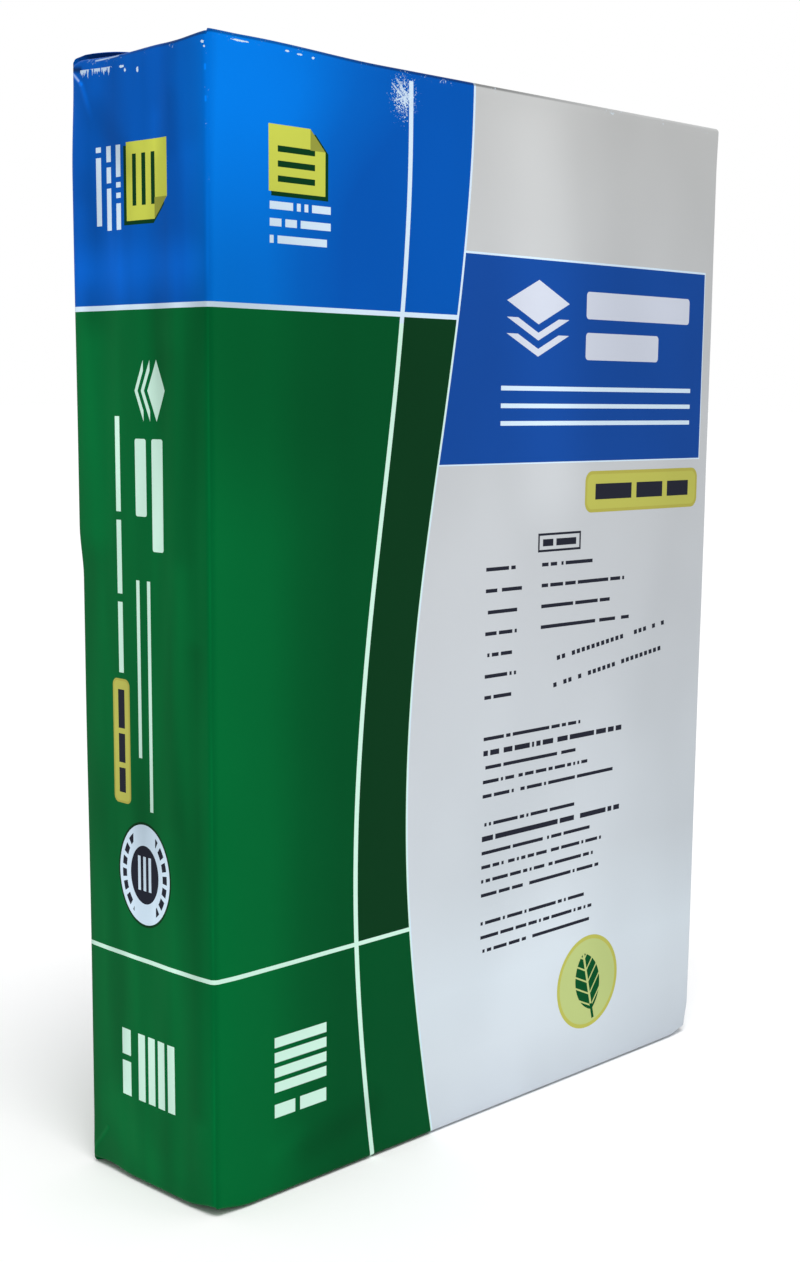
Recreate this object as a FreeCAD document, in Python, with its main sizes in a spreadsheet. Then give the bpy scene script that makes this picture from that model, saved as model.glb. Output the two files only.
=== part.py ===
# A ream of copier paper: a stack of sheets sealed in one folded wrapper, standing on a short end.
# Lengths are in millimetres. The front faces -Y, the spine faces -X, the lap seam is on the back,
# and the origin is the middle of the base.
import FreeCAD, Part
import Sketcher
import os

doc = FreeCAD.newDocument("ream_of_paper")

# Driving sizes, one named cell each
DRIVING_SIZES = {
    "sheet_width": 210.0,
    "sheet_length": 297.0,
    "sheet_count": 500,
    "sheet_caliper": 0.107,
    # Wrapper and air between the stack and the outside, on each side of it
    "side_slack": 1.0,
    "face_slack": 0.6,
    "end_slack": 1.5,
    # Rounding that the stack gives the wrapper along its long and its short edges
    "long_edge_radius": 3.0,
    "end_edge_radius": 2.2,
    # End folds: how far a flap reaches over the end, and the rise of each folded layer
    "flap_reach": 39.0,
    "fold_step": 0.5,
    # Width left between two flaps where their slanted edges cross
    "crossing_gap": 0.4,
    # Lap seam down the back: its free edge, its overlap, and the ramp over the inner edge
    "seam_place": 14.0,
    "seam_overlap": 28.0,
    "seam_ramp": 6.0,
    "seam_step": 0.3,
    # Lifted ear of the top back flap, at the corner over the spine
    "ear_rise": 1.55,
    "ear_reach": 17.0,
    "ear_run": 14.0,
    "ear_lean": 0.9,
    "ear_inset": 0.2,
    "ear_root": 1.8,
    # Slab of the seam that is sunk in the back, and cut beyond the outline, so that joins are clean
    "seam_root": 0.5,
    "cut_margin": 6.0,
}
sizes = doc.addObject("Spreadsheet::Sheet", "sizes")
for row, (alias, number) in enumerate(DRIVING_SIZES.items(), start=1):
    sizes.set(f"A{row}", alias.replace("_", " "))
    sizes.set(f"B{row}", str(number))
    sizes.setAlias(f"B{row}", alias)
doc.recompute()

# Outer sizes of the pack, worked out from the stack
HALF_WIDTH = "(sizes.sheet_width / 2 + sizes.side_slack)"
HALF_DEPTH = "(sizes.sheet_count * sizes.sheet_caliper / 2 + sizes.face_slack)"
HEIGHT = "(sizes.sheet_length + 2 * sizes.end_slack)"
LONG_RADIUS = f"min(sizes.long_edge_radius; {HALF_DEPTH} / 2)"
# The rim's rounding stays inside the rounding of the long edges that it meets
END_RADIUS = f"min(sizes.end_edge_radius; {LONG_RADIUS} * 0.9)"

# Ear sections, as shares of its reach from the corner
EAR_STATIONS = (0.03, 0.14, 0.3, 0.5, 0.72, 0.97)

body = doc.addObject("PartDesign::Body", "wrapped_ream")
body.Label = "wrapped_ream"


def value(formula):
    """The number that a formula of the named sizes gives now."""
    return float(body.evalExpression(formula))


def new_sketch(name, role, offset):
    """An empty sketch on one of the body's own planes, moved along that plane's normal."""
    plane = next(item for item in body.Origin.OriginFeatures if item.Role == role)
    sketch = body.newObject("Sketcher::SketchObject", name)
    sketch.AttachmentSupport = (plane, [""])
    sketch.MapMode = "FlatFace"
    sketch.setExpression("AttachmentOffset.Base.z", offset)
    return sketch


def draw_outline(sketch, corners):
    """A closed outline of straight lines, each corner held at two formulas of the named sizes."""
    places = [FreeCAD.Vector(value(x), value(y), 0) for x, y in corners]
    count = len(places)
    for k in range(count):
        sketch.addGeometry(Part.LineSegment(places[k], places[(k + 1) % count]), False)
    for k in range(count):
        sketch.addConstraint(Sketcher.Constraint("Coincident", k, 2, (k + 1) % count, 1))
    for k, corner in enumerate(corners):
        for kind, formula in zip(("DistanceX", "DistanceY"), corner):
            held = Sketcher.Constraint(kind, -1, 1, k, 1, value(formula))
            index = sketch.addConstraint(held)
            sketch.setExpression(f"Constraints[{index}]", formula)


def extrude(kind, name, sketch, length, reverse=False):
    """Pads or pockets a sketch by a formula of the named sizes."""
    feature = body.newObject(f"PartDesign::{kind}", name)
    feature.Profile = sketch
    feature.setExpression("Length", length)
    feature.Reversed = reverse
    doc.recompute()
    return feature


def round_edges(name, base, radius, picks):
    """Rounds the edges of a feature whose two ends both pass the test."""
    chosen = [
        f"Edge{number}"
        for number, edge in enumerate(base.Shape.Edges, start=1)
        if picks([vertex.Point for vertex in edge.Vertexes])
    ]
    fillet = body.newObject("PartDesign::Fillet", name)
    fillet.Base = (base, chosen)
    fillet.setExpression("Radius", radius)
    doc.recompute()
    return fillet


# The stack in its wrapper: a block with its long edges and then both rims rounded
section = new_sketch("pack_section", "XY_Plane", "0")
draw_outline(
    section,
    [
        (f"-{HALF_WIDTH}", f"-{HALF_DEPTH}"),
        (HALF_WIDTH, f"-{HALF_DEPTH}"),
        (HALF_WIDTH, HALF_DEPTH),
        (f"-{HALF_WIDTH}", HALF_DEPTH),
    ],
)
block = extrude("Pad", "pack_block", section, HEIGHT)
long_edges = round_edges(
    "long_edge_rounding",
    block,
    LONG_RADIUS,
    lambda ends: abs(ends[0].z - ends[-1].z) > value(HEIGHT) / 2,
)
rims = round_edges(
    "end_rim_rounding",
    long_edges,
    END_RADIUS,
    lambda ends: abs(ends[0].z - ends[-1].z) < value(END_RADIUS) / 2,
)

# End folds: the outer flap comes over from the back, the flap under it from the front, and the
# side tucks show between them. Each end is cut down from its outer flap, one layer at a time.
MARGIN = "sizes.cut_margin"
CROSSING = f"min({HALF_DEPTH} - sizes.crossing_gap / 2; sizes.flap_reach)"
for end, base, upside_down in (("top", HEIGHT, False), ("bottom", "0", True)):
    around = new_sketch(f"{end}_round_outer_flap", "XY_Plane", base)
    draw_outline(
        around,
        [
            (f"-{HALF_WIDTH} - {MARGIN}", f"{HALF_DEPTH} + {MARGIN}"),
            (f"-{HALF_WIDTH} + sizes.flap_reach", f"{HALF_DEPTH} - sizes.flap_reach"),
            (f"{HALF_WIDTH} - sizes.flap_reach", f"{HALF_DEPTH} - sizes.flap_reach"),
            (f"{HALF_WIDTH} + {MARGIN}", f"{HALF_DEPTH} + {MARGIN}"),
            (f"{HALF_WIDTH} + {MARGIN}", f"-{HALF_DEPTH} - {MARGIN}"),
            (f"-{HALF_WIDTH} - {MARGIN}", f"-{HALF_DEPTH} - {MARGIN}"),
        ],
    )
    extrude("Pocket", f"{end}_inner_flap_level", around, "sizes.fold_step", upside_down)
    for side, sign in (("spine", "-"), ("far", "")):
        tuck = new_sketch(f"{end}_{side}_tuck", "XY_Plane", base)
        edge = f"{sign}({HALF_WIDTH} + {MARGIN})"
        crossing = f"{sign}({HALF_WIDTH} - {CROSSING})"
        draw_outline(
            tuck,
            [
                (edge, f"{HALF_DEPTH} + {MARGIN}"),
                (crossing, f"{HALF_DEPTH} - {CROSSING}"),
                (crossing, f"-{HALF_DEPTH} + {CROSSING}"),
                (edge, f"-{HALF_DEPTH} - {MARGIN}"),
            ],
        )
        depth = "2 * sizes.fold_step"
        extrude("Pocket", f"{end}_{side}_tuck_level", tuck, depth, upside_down)

# Lap seam: the wrapper's outer edge lies over its inner one, and ramps down past it
lap = new_sketch("seam_section", "XY_Plane", END_RADIUS)
SEAM_FOOT = f"{HALF_DEPTH} - sizes.seam_root"
SEAM_TOP = f"{HALF_DEPTH} + sizes.seam_step"
SEAM_END = "sizes.seam_place - sizes.seam_overlap"
draw_outline(
    lap,
    [
        ("sizes.seam_place", SEAM_FOOT),
        ("sizes.seam_place", SEAM_TOP),
        (SEAM_END, SEAM_TOP),
        (f"{SEAM_END} - sizes.seam_ramp", SEAM_FOOT),
    ],
)
extrude("Pad", "lap_seam", lap, f"{HEIGHT} - 2 * {END_RADIUS}")

# Lifted ear: along the slanted edge of the top outer flap the fold stands up off the tuck below,
# most of all near the corner, and slopes back down to the flap
sections = []
for number, share in enumerate(EAR_STATIONS, start=1):
    along = f"sizes.ear_reach * {share}"
    lift = f"sin(180 * pow({share}; sizes.ear_lean))"
    section = new_sketch(f"ear_section_{number}", "XZ_Plane", f"{along} - {HALF_DEPTH}")
    crest = f"{along} + sizes.ear_inset - {HALF_WIDTH}"
    draw_outline(
        section,
        [
            (crest, f"{HEIGHT} - sizes.ear_root"),
            (crest, f"{HEIGHT} + sizes.ear_rise * {lift}"),
            (f"{crest} + sizes.ear_run * {lift}", f"{HEIGHT} - sizes.ear_root"),
        ],
    )
    sections.append(section)
ear = body.newObject("PartDesign::AdditiveLoft", "lifted_ear")
ear.Profile = sections[0]
ear.Sections = sections[1:]

# The seam stands out of the back, so the body moves forward by half of it to stay centred
body.setExpression("Placement.Base.y", "-sizes.seam_step / 2")
doc.recompute()

failed = [item.Name for item in doc.Objects if {"Invalid", "Error"} & set(item.State)]
if failed:
    raise RuntimeError(f"these objects did not build: {failed}")
if body.Shape.isNull() or not body.Shape.isValid() or len(body.Shape.Solids) != 1:
    raise RuntimeError(f"{body.Label} is not one valid solid")

os.makedirs("parts", exist_ok=True)
body.Shape.exportStep(f"parts/{body.Label}.step")
box = body.Shape.BoundBox
print(f"{body.Label}: {box.XLength:.2f} x {box.YLength:.2f} x {box.ZLength:.2f} mm")
print(f"low corner {box.XMin:.2f}, {box.YMin:.2f}, {box.ZMin:.2f}, volume {body.Shape.Volume:.0f}")
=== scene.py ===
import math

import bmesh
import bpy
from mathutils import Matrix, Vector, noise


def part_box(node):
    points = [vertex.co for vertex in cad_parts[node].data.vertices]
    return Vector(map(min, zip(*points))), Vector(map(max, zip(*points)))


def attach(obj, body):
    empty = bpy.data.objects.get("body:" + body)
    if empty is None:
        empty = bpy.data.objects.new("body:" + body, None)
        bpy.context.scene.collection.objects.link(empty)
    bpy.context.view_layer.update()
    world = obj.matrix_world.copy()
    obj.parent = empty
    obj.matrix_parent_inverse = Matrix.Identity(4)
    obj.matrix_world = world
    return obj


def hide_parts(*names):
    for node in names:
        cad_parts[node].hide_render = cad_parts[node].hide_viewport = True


bl_info = {
    "name": "Wrapped Ream",
    "version": (1, 0, 0),
    "blender": (4, 5, 0),
    "location": "View3D > Sidebar > Ream",
    "description": "Dresses a sealed ream of paper in its printed and folded wrapper",
    "category": "Add Mesh",
}

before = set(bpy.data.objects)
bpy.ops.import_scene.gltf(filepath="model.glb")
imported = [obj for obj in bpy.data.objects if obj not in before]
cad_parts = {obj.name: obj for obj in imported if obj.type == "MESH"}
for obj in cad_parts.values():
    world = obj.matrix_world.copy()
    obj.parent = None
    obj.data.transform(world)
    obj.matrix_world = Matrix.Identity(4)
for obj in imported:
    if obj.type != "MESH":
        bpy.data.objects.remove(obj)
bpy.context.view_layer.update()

NODE = "wrapped_ream"
LOW, HIGH = (Vector(corner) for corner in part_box(NODE))
MM = 0.001

# The plain block inside the pack's box: the lap seam stands out of its back, the ear off its top
SEAM_STAND = 0.3 * MM
EAR_STAND = 1.545 * MM
WIDTH = HIGH.x - LOW.x
DEPTH = HIGH.y - LOW.y - SEAM_STAND
HEIGHT = HIGH.z - LOW.z - EAR_STAND
LEFT, RIGHT = LOW.x, HIGH.x
FRONT, BACK = LOW.y, HIGH.y - SEAM_STAND
HALF_TURN = math.pi

# Width of the spine on the flat sheet, in millimetres
SPINE = DEPTH / MM


def measure(name, description, millimetres):
    """A length property written in millimetres."""
    return bpy.props.FloatProperty(
        name=name, description=description, default=millimetres * MM, unit="LENGTH"
    )


class WrapperSizes(bpy.types.PropertyGroup):
    """Sizes of the wrapper round the stack."""

    long_radius: measure("Long edge radius", "Rounding of the four edges along the pack", 2.0)
    end_radius: measure("End edge radius", "Rounding of the rims round both ends", 1.1)
    mesh_pitch: measure("Mesh pitch", "Size of the squares that carry the wrapper's soft waves", 2.0)
    flap_reach: measure("Flap reach", "How far an end flap reaches over the end", 39.0)
    fold_step: measure("Fold step", "Rise of one folded layer over the one under it", 0.5)
    seam_place: measure("Seam place", "Where the lap seam's free edge runs down the back", 14.0)
    seam_overlap: measure("Seam overlap", "Width of the two layers at the lap seam", 28.0)
    ear_reach: measure("Ear reach", "Length of the lifted fold, in from the back of the pack", 17.0)
    ear_run: measure("Ear run", "How far the lifted fold slopes down over the outer flap", 14.0)
    pillow: measure("Pillow", "How far a face falls away towards the long edges", 0.3)
    ripple: measure("Ripple", "Height of the soft waves in the wrapper", 0.22)


def ink(name, description, red, green, blue):
    """A colour property written as the three numbers of a swatch, from 0 to 255."""
    return bpy.props.FloatVectorProperty(
        name=name,
        description=description,
        subtype="COLOR_GAMMA",
        size=3,
        min=0.0,
        max=1.0,
        default=(red / 255, green / 255, blue / 255),
    )


class WrapperInks(bpy.types.PropertyGroup):
    """Colours printed on the wrapper."""

    # The bright inks by the front edge also carry the painted sheen there
    bright_blue: ink("Bright blue", "Upper field by the front edge", 0, 122, 228)
    deep_blue: ink("Deep blue", "Upper field away from the edge, and the spine", 3, 84, 177)
    panel_blue: ink("Panel blue", "Panel on the pale field", 20, 72, 154)
    bright_green: ink("Bright green", "Lower field by the front edge", 0, 104, 50)
    deep_green: ink("Deep green", "Lower field away from the edge", 0, 78, 37)
    dark_green: ink("Dark green", "Flowing ribbon beside the pale field", 8, 56, 27)
    pale: ink("Pale grey", "Pale field and the back", 214, 224, 232)
    white: ink("White", "Stripes, ribbon edges and bars", 210, 230, 246)
    mint: ink("Mint", "The same marks on the green", 204, 240, 223)
    plate_white: ink("Plate white", "Broad marks on the panel", 204, 210, 224)
    yellow: ink("Yellow", "Page marks", 196, 203, 80)
    page_fold: ink("Page fold", "Turned-down corner of the page marks", 146, 150, 62)
    badge: ink("Badge yellow", "Rounded badges", 188, 188, 90)
    badge_rim: ink("Badge rim", "Outline of the rounded badges", 178, 173, 80)
    leaf_plate: ink("Leaf plate", "Round plate of the leaf mark", 188, 202, 130)
    dark: ink("Dark grey", "Small bars that stand for print", 36, 38, 50)


class StageSettings(bpy.types.PropertyGroup):
    """Floor, light and camera."""

    floor: bpy.props.FloatVectorProperty(
        name="Floor",
        description="Colour of the floor",
        subtype="COLOR_GAMMA",
        size=3,
        default=(0.98, 0.98, 0.98),
    )
    sky: bpy.props.FloatProperty(
        name="Sky", description="Strength of the even light all round", default=0.54
    )
    key: bpy.props.FloatProperty(
        name="Key light", description="Strength of the soft lamp high over the pack", default=1.95
    )
    sheen: bpy.props.FloatProperty(
        name="Sheen light",
        description="Power of the tall lamp that the wrapper's gloss mirrors",
        default=1.5,
        unit="POWER",
    )


# Camera, from the pack's own edges: place, aim and lens
CAMERA_PLACE = Vector((-398.58, -378.82, 214.26)) * MM
CAMERA_AZIMUTH = math.radians(45.732)
CAMERA_DOWN = math.radians(9.501)
CAMERA_ROLL = math.radians(0.522)
PICTURE_HIGH = 1262
FOCAL_PIXELS = 1836.3
AIM_ROW = 705.4
SENSOR = 36.0

# Lamps and floor, in metres
KEY_PLACE = Vector((-0.5, -0.72, 2.4))
KEY_SPREAD = math.radians(30)
SHEEN_PLACE = Vector((0.75, -1.25, 0.55))
SHEEN_WIDE = 0.5
SHEEN_HIGH = 1.6
FLOOR_SIZE = 30.0
FLOOR_SQUARES = 8


def linear(colour):
    """The light that a swatch's three numbers stand for, with full cover."""
    parts = [c / 12.92 if c <= 0.04045 else ((c + 0.055) / 1.055) ** 2.4 for c in colour]
    return (*parts, 1.0)


class Wire:
    """A shader socket that joins in Python expressions."""

    def __init__(self, tree, socket):
        self.tree = tree
        self.socket = socket

    def maths(self, operation, *others):
        return self.tree.add("ShaderNodeMath", {"operation": operation}, [self, *others])

    def vector(self, operation, *others, output=0):
        settings = {"operation": operation}
        return self.tree.add("ShaderNodeVectorMath", settings, [self, *others], output)

    def __add__(self, other):
        return self.maths("ADD", other)

    def __sub__(self, other):
        return self.maths("SUBTRACT", other)

    def __rsub__(self, other):
        return self.maths("MULTIPLY_ADD", -1.0, other)

    def __mul__(self, other):
        return self.maths("MULTIPLY", other)

    def __abs__(self):
        return self.maths("ABSOLUTE")

    def scaled(self, factor, shift):
        return self.maths("MULTIPLY_ADD", factor, shift)

    def most(self, other):
        return self.maths("MAXIMUM", other)

    def part(self):
        return self.maths("FRACT")

    def wave(self):
        return self.maths("SINE")

    def above(self, limit):
        return self.maths("GREATER_THAN", limit)

    def below(self, limit):
        return self.maths("LESS_THAN", limit)

    def near(self, middle, reach):
        """1 within a reach of the middle."""
        return self.maths("COMPARE", middle, reach)

    def length(self):
        return self.vector("LENGTH", output=1)

    def split(self):
        """The first two numbers of a vector."""
        first = self.tree.add("ShaderNodeSeparateXYZ", None, [self])
        return first, Wire(self.tree, first.socket.node.outputs[1])

    def fade(self, low, high):
        """A smooth rise from 0 at low to 1 at high, or a fall where low is the greater."""
        settings = {"interpolation_type": "SMOOTHSTEP"}
        limits = [self, min(low, high), max(low, high), float(low > high), float(low < high)]
        return self.tree.add("ShaderNodeMapRange", settings, limits)


class Tree:
    """Builds the nodes of a material, or of the world, from expressions."""

    def __init__(self, owner):
        owner.use_nodes = True
        self.nodes = owner.node_tree.nodes
        self.links = owner.node_tree.links
        self.nodes.clear()

    def add(self, kind, settings=None, inputs=(), output=0):
        """Adds a node, sets it up, fills its sockets and returns one of its outputs."""
        node = self.nodes.new(kind)
        settings = dict(settings or {})
        for number, (position, colour) in enumerate(settings.pop("stops", ())):
            stops = node.color_ramp.elements
            stop = stops[number] if number < len(stops) else stops.new(position)
            stop.position = position
            stop.color = colour
        for name, setting in settings.items():
            setattr(node, name, setting)
        pairs = inputs.items() if isinstance(inputs, dict) else enumerate(inputs)
        for key, given in pairs:
            if isinstance(given, Wire):
                self.links.new(given.socket, node.inputs[key])
            else:
                node.inputs[key].default_value = given
        return Wire(self, node.outputs[output]) if node.outputs else None

    def mix(self, mask, below, above, blend="MIX"):
        """Lays one colour over another where the mask is 1."""
        settings = {"data_type": "RGBA", "blend_type": blend}
        return self.add("ShaderNodeMix", settings, {0: mask, 6: below, 7: above}, output=2)

    def either(self, mask, without, within):
        """One vector or the other, by a mask."""
        settings = {"data_type": "VECTOR"}
        return self.add("ShaderNodeMix", settings, {0: mask, 4: without, 5: within}, output=1)

    def grain(self, place, scale, detail=2.0, rough=0.5):
        """Noise between 0 and 1 over a place in space."""
        inputs = {"Vector": place, "Scale": scale, "Detail": detail, "Roughness": rough}
        return self.add("ShaderNodeTexNoise", None, inputs)

    def turned(self, place, middle, degrees, scale=1.0):
        """A place on the sheet seen about a middle, turned clockwise and scaled down."""
        inputs = {
            "Vector": place,
            "Location": (*middle, 0.0),
            "Rotation": (0.0, 0.0, math.radians(degrees)),
            "Scale": (scale, scale, 1.0),
        }
        return self.add("ShaderNodeMapping", {"vector_type": "TEXTURE"}, inputs)


def union(masks):
    """1 where any of the masks is 1."""
    whole = masks[0]
    for mask in masks[1:]:
        whole = whole.most(mask)
    return whole


class Sheet:
    """Masks on the flat wrapper, in millimetres across from the front edge and down from the top."""

    def __init__(self, tree, place):
        self.tree = tree
        self.place = place
        self.across, self.down = place.split()

    def turned(self, middle, degrees):
        """The same sheet seen about a middle, turned clockwise."""
        return Sheet(self.tree, self.tree.turned(self.place, middle, degrees))

    def box(self, left, top, right, bottom):
        """1 inside a box."""
        wide = self.across.near((left + right) / 2, (right - left) / 2)
        return wide * self.down.near((top + bottom) / 2, (bottom - top) / 2)

    def plate(self, left, top, right, bottom, radius):
        """1 inside a box with rounded corners."""
        middle = ((left + right) / 2, (top + bottom) / 2, 0.0)
        half = ((right - left) / 2 - radius, (bottom - top) / 2 - radius, 0.0)
        out = self.place.vector("SUBTRACT", middle).vector("ABSOLUTE").vector("SUBTRACT", half)
        return out.vector("MAXIMUM", (0.0, 0.0, 0.0)).length().below(radius)

    def scaled(self, middle_across, middle_down, half_wide, half_high):
        scale = (1 / half_wide, 1 / half_high, 0.0)
        shift = (-middle_across / half_wide, -middle_down / half_high, 0.0)
        return self.place.vector("MULTIPLY_ADD", scale, shift)

    def oval(self, *middle_and_halves):
        """1 inside an ellipse."""
        return self.scaled(*middle_and_halves).length().below(1.0)

    def lozenge(self, *middle_and_halves):
        """How far out each point lies in a lozenge, 1 on its edge."""
        folded = self.scaled(*middle_and_halves).vector("ABSOLUTE")
        return folded.vector("DOT_PRODUCT", (1.0, 1.0, 0.0), output=1)

    def line(self, start, end, width):
        """1 along a straight line between two points, fading out over its width."""
        run = (end[0] - start[0], end[1] - start[1])
        middle = ((start[0] + end[0]) / 2, (start[1] + end[1]) / 2)
        view = self.turned(middle, math.degrees(math.atan2(run[1], run[0])))
        half = (math.hypot(*run) / 2, 0.0, 0.0)
        out = view.place.vector("ABSOLUTE").vector("SUBTRACT", half)
        return out.vector("MAXIMUM", (0.0, 0.0, 0.0)).length().fade(width, 0.0)

    def rows(self, left, top, count, pitch, tall, longest, seed, letter, even=0.5):
        """Rows of plain bars, long and short as words are, each row of its own length."""
        scale = (1 / letter, 1 / pitch, 0.0)
        shift = (-left / letter, -top / pitch, 0.0)
        cells = self.place.vector("MULTIPLY_ADD", scale, shift)
        cell = cells.vector("FLOOR")
        column, row = cell.split()
        in_row = cells.vector("FRACTION").split()[1]
        own = cell.vector("ADD", (seed, 3.0 * seed, 0.0))
        dice = self.tree.add("ShaderNodeTexWhiteNoise", {"noise_dimensions": "2D"}, [own])
        length = {"W": row + seed}
        length = self.tree.add("ShaderNodeTexWhiteNoise", {"noise_dimensions": "1D"}, length)
        bar = in_row.below(tall / pitch) * dice.above(0.17)
        ends = length.scaled((1 - even) * longest / letter, even * longest / letter)
        in_rows = row.near((count - 1) / 2, count / 2)
        return bar * in_rows * column.above(-0.5) * column.below(ends), row


def wrapper_place(tree):
    """The flat sheet's two coordinates, in millimetres, read from the wrapper's own map."""
    flat = tree.add("ShaderNodeUVMap", {"uv_map": "sheet"})
    settings = ((1000.0, -1000.0, 0.0), (0.0, HEIGHT / MM, 0.0))
    return Sheet(tree, flat.vector("MULTIPLY_ADD", *settings))


def quarter_turned(sheet, spine_middle, front_middle, scale=1.0):
    """Places on the spine, turned a quarter and moved to where the front has the same mark."""
    view = sheet.tree.turned(sheet.place, spine_middle, 90.0, scale)
    return view.vector("ADD", (*front_middle, 0.0))


def both_faces(sheet, on_spine):
    """One view of the marks that the front and, turned, the spine both carry."""
    high = quarter_turned(sheet, SPINE_PAGE, FRONT_PAGE)
    low = quarter_turned(sheet, SPINE_BARS, FRONT_BARS)
    turned = sheet.tree.either(sheet.down.below(HALF_DOWN), low, high)
    return Sheet(sheet.tree, sheet.tree.either(on_spine, sheet.place, turned))


# Middles of the page marks and of the stacked bars, on the front and on the spine
FRONT_PAGE = (29.5, 27.5)
SPINE_PAGE = (-23.5, 33.0)
FRONT_BARS = (30.5, 264.0)
SPINE_BARS = (-25.5, 266.0)

# Down the sheet, where the upper marks give way to the lower ones
HALF_DOWN = 150.0

# Middles of the stack of sheets with its bars, on the panel and on the spine
FRONT_HEAD = (154.0, 63.0)
SPINE_HEAD = (-23.5, 101.0)
SPINE_HEAD_SCALE = 0.55

# Stack of sheets: middle and half size of the top one, and the step and the edge of those under it
STACK_TOP = (124.0, 58.0)
STACK_HALF = (14.0, 6.3)
STACK_STEP = 4.6
STACK_THICK = 2.2

# Fields down the sheet, and the panel: left, top, right and bottom
BLUE_END = 63.5
STRIPES = (63.6, 235.3)
PANEL = (60.0, 46.0, 206.0, 104.0)
PANEL_EDGING = (60.0, 45.4, 206.4, 104.4)
PANEL_MARKS = (100.0, 50.0, 206.0, 78.0)


def fields(sheet, swatch):
    """Blue over green beside the pale field, with a darker ribbon and white lines between; the bright
    inks by the front edge are partly painted sheen, and the pale field carries painted shade.
    """
    tree = sheet.tree
    half_spine = SPINE / 2
    from_spine = abs(sheet.across + half_spine) - half_spine
    angle = sheet.down.scaled(1.5 * HALF_TURN / (HEIGHT / MM), HALF_TURN / 2)
    inside = angle.wave().scaled(12.0, 83.0) - from_spine
    inside_ribbon = inside - (angle + 0.7).wave().scaled(3.5, 22.5)
    in_field = inside.above(0.0)

    # Ink runs from bright by the front edge to deep away from it, more slowly near the top: a printed
    # gradient that also paints in the film's sheen there
    grey = [(place, (level, level, level, 1.0)) for place, level in INK_AND_PAINTED_SHEEN]
    pale_painted_shade = [(place, (*colour, 1.0)) for place, colour in PALE_PAINTED_SHADE]
    away = sheet.across * sheet.down.fade(45.0, 5.0).scaled(-0.38 / 120, 1 / 120) + 0.5
    light = tree.add("ShaderNodeValToRGB", {"stops": grey}, [away])
    blue = tree.mix(light, swatch["deep_blue"], swatch["bright_blue"])
    green_ink_and_sheen = light.most(sheet.across.below(0.0) * 0.75)
    green = tree.mix(green_ink_and_sheen, swatch["deep_green"], swatch["bright_green"])
    ribbon = inside_ribbon.below(0.0) * sheet.down.below(STRIPES[1])
    green = tree.mix(ribbon, green, swatch["dark_green"])
    field = tree.mix(sheet.down.below(BLUE_END), green, blue)
    # Painted shade down the pale field
    shade = tree.add("ShaderNodeValToRGB", {"stops": pale_painted_shade}, [sheet.down * (MM / HEIGHT)])
    pale = tree.mix(1.0, swatch["pale"], shade, "MULTIPLY")
    colour = tree.mix(in_field, pale, field)
    on_pale = inside.below(0.0)
    colour = tree.mix(sheet.box(*PANEL_EDGING) * on_pale, colour, swatch["white"])
    colour = tree.mix(sheet.box(*PANEL) * on_pale, colour, swatch["panel_blue"])
    stripes = sheet.down.near(STRIPES[0], 0.65).most(sheet.down.near(STRIPES[1], 0.6)) * in_field
    ribbon_edge = inside_ribbon.near(0.0, 0.8) * sheet.down.above(2.8)
    lines = stripes.most(inside.near(0.0, 0.4)).most(ribbon_edge)
    white = tree.mix(in_field * sheet.down.above(66.0), swatch["white"], swatch["mint"])
    white = tree.mix(sheet.box(*PANEL_MARKS), white, swatch["plate_white"])
    return colour, lines, white


# Painted shade that the pale field takes from the top down, darker at the top and the foot; the first
# two are the ramp's own ends
PALE_PAINTED_SHADE = (
    (0.0, (0.784, 0.716, 0.659)),
    (1.0, (0.86, 0.85, 0.86)),
    (0.5, (0.842, 0.8, 0.78)),
    (0.75, (0.88, 0.86, 0.85)),
    (0.86, (1.0, 1.0, 1.0)),
    (0.93, (0.98, 0.97, 0.97)),
)

# Places across the front edge, from 60 mm before it to 60 mm past it, and the share of bright
# ink there, print and painted sheen together; the first two are the ramp's own ends
INK_AND_PAINTED_SHEEN = (
    (0.0, 0.0),
    (1.0, 0.0),
    (0.42, 0.05),
    (0.47, 0.4),
    (0.5, 0.6),
    (0.52, 1.0),
    (0.66, 0.8),
    (0.76, 0.3),
    (0.88, 0.0),
)


def white_marks(sheet, shared, spine, head):
    """White marks: a stack of sheets and plain bars on the panel, the front and the spine."""
    bars = shared.down.scaled(1 / 4.2, -255.0 / 4.2).part().below(0.68)
    lines = sheet.down.scaled(1 / 5.0, -82.0 / 5.0).part().below(0.26)
    marks = [
        head.plate(146.0, 54.0, 198.0, 62.0, 1.2),
        head.plate(146.0, 66.0, 182.0, 74.0, 1.2),
        sheet.box(108.0, 82.0, 200.0, 94.0) * lines,
        shared.rows(20.0, 37.8, 3, 4.1, 1.9, 20.5, 2.0, 1.3, 0.9)[0],
        shared.box(21.0, 255.0, 40.0, 271.4) * bars,
        shared.box(21.0, 273.8, 28.4, 277.6),
        shared.box(30.2, 273.8, 40.0, 277.6),
        spine.box(133.0, 24.2, 194.0, 25.5),
        spine.box(133.0, 28.6, 180.0, 29.9),
        spine.box(91.0, 35.9, 115.5, 37.9),
        spine.box(117.7, 35.9, 137.0, 37.9),
        spine.box(139.2, 35.9, 158.0, 37.9),
    ]
    across, top = STACK_TOP
    marks.append(head.lozenge(across, top, *STACK_HALF).below(1.0))
    for level in (1, 2):
        down = top + STACK_STEP * level
        lower = head.lozenge(across, down, *STACK_HALF).below(1.0)
        above = head.lozenge(across, down - STACK_THICK, *STACK_HALF).above(1.0)
        marks.append(lower * above * head.down.above(down))
    return union(marks)


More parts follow.
